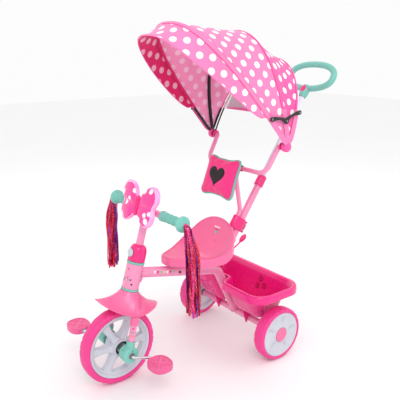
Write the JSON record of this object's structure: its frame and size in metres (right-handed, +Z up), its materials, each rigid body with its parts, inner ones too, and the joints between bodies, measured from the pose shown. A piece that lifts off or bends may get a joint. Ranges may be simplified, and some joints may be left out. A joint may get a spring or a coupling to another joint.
{
  "type": "children's tricycle",
  "caption": "Children's push tricycle: steered pedal wheel, bucket seat, rear basket, parent push pole and a folding cloth canopy.",
  "frame": {"origin": "middle of the bounding box's footprint, on the ground", "axes": "+Z up; the front wheel points along -Y; the rider's left is +X"},
  "size_m": [0.521, 1.0174, 1.1178],
  "materials": {
    "pink_paint": "gloss",
    "silver_paint": "gloss",
    "pink_plastic": "gloss",
    "hot_pink_plastic": "gloss",
    "tyre_pink": "satin",
    "white_plastic": "gloss",
    "mint_plastic": "satin",
    "black_plastic": "satin",
    "chrome": "polished",
    "pink_cloth": "woven",
    "cushion_cloth": "woven",
    "tassel_foil": "shiny foil strips"
  },
  "bodies": {
    "frame": {"axle_tube": "pink_paint", "basket": "hot_pink_plastic", "canopy_back_wall": "pink_cloth", "canopy_clamp": "hot_pink_plastic", "canopy_pin_left": "hot_pink_plastic", "canopy_pin_right": "hot_pink_plastic", "canopy_stem": "pink_paint", "canopy_yoke": "pink_paint", "clamp_screw_lower": "chrome", "clamp_screw_upper": "chrome", "frame_bolt": "black_plastic", "head_cushion": "cushion_cloth", "head_ring_lower": "mint_plastic", "head_ring_upper": "mint_plastic", "head_tube": "pink_paint", "main_tube": "pink_paint", "pole_lower_tube": "pink_paint", "pole_socket": "pink_paint", "rear_axle_rod": "chrome", "rear_bow": "black_plastic", "seat_bracket": "silver_paint", "seat_shell": "pink_plastic"},
    "collar": {"pole_collar": "hot_pink_plastic"},
    "push_handle": {"pole_upper_tube": "silver_paint", "push_handle": "mint_plastic"},
    "hand_screw": {"hand_screw": "hot_pink_plastic"},
    "steering": {"butterfly_light": "pink_plastic", "fork": "pink_paint", "front_fender": "pink_plastic", "grip_left": "mint_plastic", "grip_right": "mint_plastic", "handlebar": "pink_paint", "hub_cover_left": "mint_plastic", "hub_cover_right": "mint_plastic", "stem_cap": "hot_pink_plastic", "stem_tube": "pink_paint", "steerer_tube": "silver_paint", "tassel_left": "tassel_foil", "tassel_right": "tassel_foil"},
    "stem_button": {"stem_button": "white_plastic"},
    "front_wheel": {"front_tyre": "tyre_pink", "front_rim": "white_plastic", "crank_axle": "chrome"},
    "pedal_left": {"pedal_left": "pink_plastic"},
    "pedal_right": {"pedal_right": "pink_plastic"},
    "rear_wheel_left": {"rear_tyre_left": "tyre_pink", "rear_rim_left": "white_plastic", "hub_cap_left": "pink_plastic"},
    "rear_wheel_right": {"rear_tyre_right": "tyre_pink", "rear_rim_right": "white_plastic", "hub_cap_right": "pink_plastic"},
    "middle_bow": {"middle_bow": "black_plastic", "canopy_rear_panel": "pink_cloth"},
    "front_bow": {"front_bow": "black_plastic", "canopy_front_panel": "pink_cloth", "canopy_visor": "pink_cloth"},
    "spreader_rear_left": {"spreader_rear_left": "black_plastic"},
    "spreader_rear_right": {"spreader_rear_right": "black_plastic"},
    "spreader_front_left": {"spreader_front_left": "black_plastic"},
    "spreader_front_right": {"spreader_front_right": "black_plastic"}
  },
  "joints": [
    {"name": "steering", "type": "hinge", "parent": "frame", "child": "steering", "pos_m": [0, -0.38238, 0.127], "axis": [0, 0.279, 0.9603], "range_deg": [-35, 35]},
    {"name": "front_wheel_spin", "type": "hinge", "parent": "steering", "child": "front_wheel", "pos_m": [0, -0.38238, 0.127], "axis": [1, 0, 0], "continuous": true},
    {"name": "pedal_left_spin", "type": "hinge", "parent": "front_wheel", "child": "pedal_left", "pos_m": [0.15, -0.32017, 0.10497], "axis": [1, 0, 0], "continuous": true},
    {"name": "pedal_right_spin", "type": "hinge", "parent": "front_wheel", "child": "pedal_right", "pos_m": [-0.15, -0.44459, 0.14903], "axis": [1, 0, 0], "continuous": true},
    {"name": "rear_wheel_left_spin", "type": "hinge", "parent": "frame", "child": "rear_wheel_left", "pos_m": [0.216, 0.12162, 0.093], "axis": [1, 0, 0], "continuous": true},
    {"name": "rear_wheel_right_spin", "type": "hinge", "parent": "frame", "child": "rear_wheel_right", "pos_m": [-0.216, 0.12162, 0.093], "axis": [1, 0, 0], "continuous": true},
    {"name": "handlebar_button_press", "type": "slide", "parent": "steering", "child": "stem_button", "axis": [0, 0.9603, -0.279], "range_m": [0, 0.0025], "stiffness_N_per_m": 400, "springref_m": -0.002},
    {"name": "push_pole_slide", "type": "slide", "parent": "frame", "child": "push_handle", "axis": [0, 0.5693, 0.8221], "range_m": [-0.12, 0.05]},
    {"name": "pole_collar_twist", "type": "hinge", "parent": "frame", "child": "collar", "pos_m": [0, 0.03862, 0.3], "axis": [0, 0.5693, 0.8221], "range_deg": [0, 90]},
    {"name": "pole_hand_screw_turn", "type": "hinge", "parent": "frame", "child": "hand_screw", "pos_m": [0, 0.0779, 0.35673], "axis": [0, 0.8221, -0.5693], "continuous": true},
    {"name": "canopy_fold", "type": "hinge", "parent": "frame", "child": "middle_bow", "pos_m": [0, 0.15762, 0.735], "axis": [-1, 0, 0], "range_deg": [0, 24], "deforming": ["canopy_rear_panel"]},
    {"name": "canopy_front_fold", "type": "hinge", "parent": "middle_bow", "child": "front_bow", "pos_m": [0, 0.15762, 0.735], "axis": [-1, 0, 0], "range_deg": [0, 24], "deforming": ["canopy_front_panel"]},
    {"name": "spreader_rear_left_pivot", "type": "hinge", "parent": "frame", "child": "spreader_rear_left", "pos_m": [0.199, 0.20145, 0.84348], "axis": [-1, 0, 0], "range_deg": [-24, 0]},
    {"name": "spreader_front_left_pivot", "type": "hinge", "parent": "front_bow", "child": "spreader_front_left", "pos_m": [0.2026, 0.07514, 0.83157], "axis": [-1, 0, 0], "range_deg": [0, 52]},
    {"name": "spreader_rear_right_pivot", "type": "hinge", "parent": "frame", "child": "spreader_rear_right", "pos_m": [-0.199, 0.20145, 0.84348], "axis": [-1, 0, 0], "range_deg": [-24, 0]},
    {"name": "spreader_front_right_pivot", "type": "hinge", "parent": "front_bow", "child": "spreader_front_right", "pos_m": [-0.2026, 0.07514, 0.83157], "axis": [-1, 0, 0], "range_deg": [0, 52]}
  ],
  "couplings": [
    {"joint": "canopy_front_fold", "follows": "canopy_fold", "ratio": 1},
    {"joint": "spreader_rear_left_pivot", "follows": "canopy_fold", "ratio": -0.97},
    {"joint": "spreader_front_left_pivot", "follows": "canopy_fold", "ratio": 2.136},
    {"joint": "spreader_rear_right_pivot", "follows": "canopy_fold", "ratio": -0.97},
    {"joint": "spreader_front_right_pivot", "follows": "canopy_fold", "ratio": 2.136}
  ]
}
